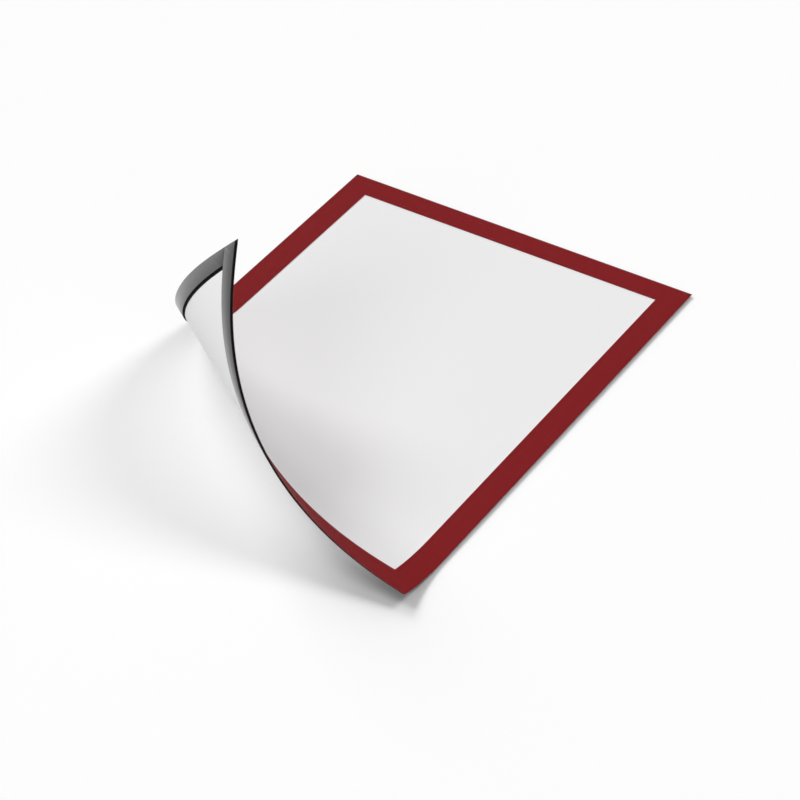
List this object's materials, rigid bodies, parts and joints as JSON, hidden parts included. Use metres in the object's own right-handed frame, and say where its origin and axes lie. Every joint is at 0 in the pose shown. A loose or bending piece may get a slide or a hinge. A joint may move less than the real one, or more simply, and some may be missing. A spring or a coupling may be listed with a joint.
{
  "type": "magnetic photo frame",
  "caption": "Thin flexible portrait frame: clear film with a coloured border on magnet strips, one corner rolled up, holding a loose photo sheet.",
  "frame": {"origin": "middle of the frame's outline, on the back of the magnet strips where the frame lies flat", "axes": "+X towards the right edge, +Y towards the top edge, +Z out of the front of the frame"},
  "size_m": [0.2364, 0.3224, 0.1165],
  "materials": {
    "clear_film": "satin",
    "red_foil": "satin",
    "magnet_rubber": "matte",
    "adhesive": "matte",
    "photo_paper": "satin"
  },
  "bodies": {
    "frame": {"cover_film": "clear_film", "border_foil": "red_foil", "top_magnet_strip": "magnet_rubber", "bottom_magnet_strip": "magnet_rubber", "left_magnet_strip": "magnet_rubber", "right_magnet_strip": "magnet_rubber", "top_adhesive_tape": "adhesive", "bottom_adhesive_tape": "adhesive", "left_adhesive_tape": "adhesive", "right_adhesive_tape": "adhesive"},
    "photo": {"photo_sheet": "photo_paper"}
  },
  "joints": [
    {"name": "photo_slide", "type": "slide", "parent": "frame", "child": "photo", "axis": [0, -1, 0], "range_m": [0, 0.33]}
  ]
}
